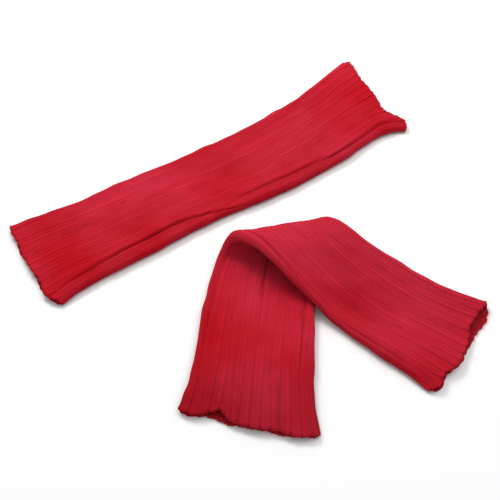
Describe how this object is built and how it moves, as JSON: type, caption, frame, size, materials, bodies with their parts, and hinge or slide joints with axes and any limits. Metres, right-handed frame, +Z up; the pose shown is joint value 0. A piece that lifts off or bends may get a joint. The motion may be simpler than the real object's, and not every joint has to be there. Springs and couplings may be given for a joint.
{
  "type": "pair of leg warmers",
  "caption": "Pair of ribbed knitted tube leg warmers lying on a surface: laid out straight, and folded over loosely on the slant.",
  "frame": {"origin": "middle of the rectangle that the pair covers, on the surface it lies on", "axes": "+Z up from the surface; +X to the right and +Y away, as seen from the side where the folded leg warmer lies in front of the straight one"},
  "size_m": [0.4139, 0.4817, 0.0375],
  "materials": {
    "rib_knit": "matte red knit"
  },
  "bodies": {
    "root": {"straight_leg_warmer": "rib_knit", "folded_leg_warmer": "rib_knit"}
  },
  "joints": []
}
